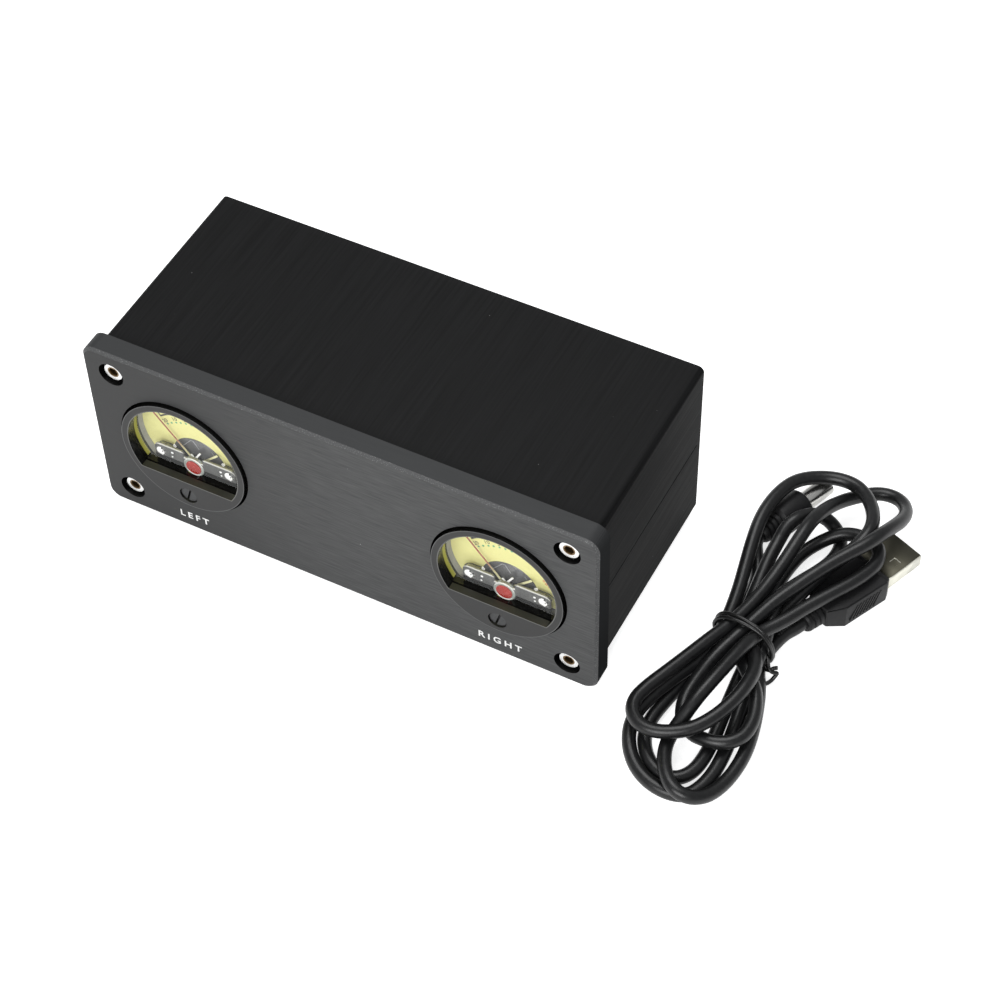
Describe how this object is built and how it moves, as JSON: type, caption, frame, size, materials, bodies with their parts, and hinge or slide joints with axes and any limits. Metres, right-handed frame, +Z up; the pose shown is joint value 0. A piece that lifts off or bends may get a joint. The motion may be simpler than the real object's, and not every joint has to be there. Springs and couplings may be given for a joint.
{
  "type": "twin analogue level meter",
  "caption": "Desktop twin analogue level meter: a thick front plate on a split extruded case, two moving-coil meters with D windows, rear inputs and a tied supply lead.",
  "frame": {"origin": "under the middle of the case and its fittings, at the bottom of the feet, the lead not counted", "axes": "+X to the right seen from the front, +Y from the front plate to the rear, +Z up from the desk"},
  "size_m": [0.2094, 0.1207, 0.0606],
  "materials": {
    "front_plate": "dark grey anodised, brushed along its length, blasted bevel",
    "case_metal": "black anodised, brushed from front to rear",
    "bright_steel": "bright zinc",
    "black_steel": "black oxide",
    "foot_rubber": "matt black",
    "housing_plastic": "black",
    "bezel_plastic": "satin black",
    "clear_plastic": "clear acrylic",
    "dial_face": "pale yellow print on aluminium",
    "hub_red": "red",
    "bright_aluminium": "bright",
    "brass": "bright",
    "soft_iron": "dark, plated",
    "coil_metal": "copper wire on aluminium",
    "pointer_paint": "red blade on a bare yellowish arm",
    "lamp_lens": "white",
    "wire_sleeve": "red and black",
    "board_laminate": "green solder mask",
    "nylon": "white nylon",
    "chip_plastic": "black epoxy",
    "capacitor_sleeve": "black sleeve",
    "resistor_body": "blue lacquer",
    "trimmer_plastic": "blue",
    "socket_plastic": "black",
    "plated_metal": "nickel plate",
    "cord_jacket": "smooth black PVC",
    "tie_plastic": "black",
    "plug_mould": "black PVC moulding",
    "tongue_plastic": "white"
  },
  "bodies": {
    "root": {"board_plugs": "nylon", "capacitors": "capacitor_sleeve", "dc_plug_barrel": "plated_metal", "dc_plug_grip": "plug_mould", "dial_screws": "bright_steel", "driver_board": "board_laminate", "driver_chips": "chip_plastic", "front_panel": "front_plate", "front_screws": "bright_steel", "input_barrels": "plated_metal", "input_sockets": "socket_plastic", "lead_hank": "cord_jacket", "lead_tail": "cord_jacket", "left_dial_plate": "dial_face", "left_front_bridge": "brass", "left_hub_cap": "hub_red", "left_light_bar": "clear_plastic", "left_magnet_core": "soft_iron", "left_magnet_frame": "soft_iron", "left_meter_bezel": "bezel_plastic", "left_meter_housing": "housing_plastic", "left_meter_lens": "clear_plastic", "lower_case": "case_metal", "meter_lamps": "lamp_lens", "meter_tags": "brass", "meter_wires": "wire_sleeve", "power_pin": "plated_metal", "power_socket": "socket_plastic", "rear_panel": "case_metal", "rear_screws": "black_steel", "resistors": "resistor_body", "right_dial_plate": "dial_face", "right_front_bridge": "brass", "right_hub_cap": "hub_red", "right_light_bar": "clear_plastic", "right_magnet_core": "soft_iron", "right_magnet_frame": "soft_iron", "right_meter_bezel": "bezel_plastic", "right_meter_housing": "housing_plastic", "right_meter_lens": "clear_plastic", "rubber_feet": "foot_rubber", "trimmer_bodies": "trimmer_plastic", "twist_tie": "tie_plastic", "upper_case": "case_metal", "usb_plug_grip": "plug_mould", "usb_plug_shell": "plated_metal", "usb_plug_tongue": "tongue_plastic"},
    "left_zero_screw": {"left_zero_screw": "bezel_plastic"},
    "left_zero_lever": {"left_zero_lever": "bright_aluminium"},
    "left_movement": {"left_moving_coil": "coil_metal", "left_pointer": "pointer_paint", "left_hairspring": "brass"},
    "left_trimmer_rotor": {"left_trimmer_rotor": "brass"},
    "right_zero_screw": {"right_zero_screw": "bezel_plastic"},
    "right_zero_lever": {"right_zero_lever": "bright_aluminium"},
    "right_movement": {"right_moving_coil": "coil_metal", "right_pointer": "pointer_paint", "right_hairspring": "brass"},
    "right_trimmer_rotor": {"right_trimmer_rotor": "brass"}
  },
  "joints": [
    {"name": "left_zero_adjust", "type": "hinge", "parent": "root", "child": "left_zero_screw", "pos_m": [-0.04686, -0.0375, 0.01585], "axis": [0, 1, 0], "range_deg": [-45, 45]},
    {"name": "left_zero_shift", "type": "hinge", "parent": "root", "child": "left_zero_lever", "pos_m": [-0.04686, -0.0326, 0.0226], "axis": [0, 1, 0], "range_deg": [-6.3, 6.3]},
    {"name": "left_pointer_swing", "type": "hinge", "parent": "left_zero_lever", "child": "left_movement", "pos_m": [-0.04686, -0.0316, 0.0226], "axis": [0, 1, 0], "range_deg": [-2, 77], "stiffness_Nm_per_rad": 0.00003},
    {"name": "left_level_trim", "type": "hinge", "parent": "root", "child": "left_trimmer_rotor", "pos_m": [-0.006, 0.0257, 0.0137], "axis": [0, 1, 0], "range_deg": [-135, 135]},
    {"name": "right_zero_adjust", "type": "hinge", "parent": "root", "child": "right_zero_screw", "pos_m": [0.04686, -0.0375, 0.01585], "axis": [0, 1, 0], "range_deg": [-45, 45]},
    {"name": "right_zero_shift", "type": "hinge", "parent": "root", "child": "right_zero_lever", "pos_m": [0.04686, -0.0326, 0.0226], "axis": [0, 1, 0], "range_deg": [-6.3, 6.3]},
    {"name": "right_pointer_swing", "type": "hinge", "parent": "right_zero_lever", "child": "right_movement", "pos_m": [0.04686, -0.0316, 0.0226], "axis": [0, 1, 0], "range_deg": [-2, 77], "stiffness_Nm_per_rad": 0.00003},
    {"name": "right_level_trim", "type": "hinge", "parent": "root", "child": "right_trimmer_rotor", "pos_m": [0.006, 0.0257, 0.0137], "axis": [0, 1, 0], "range_deg": [-135, 135]}
  ],
  "couplings": [
    {"joint": "left_zero_shift", "follows": "left_zero_adjust", "ratio": -0.125},
    {"joint": "right_zero_shift", "follows": "right_zero_adjust", "ratio": -0.125}
  ]
}
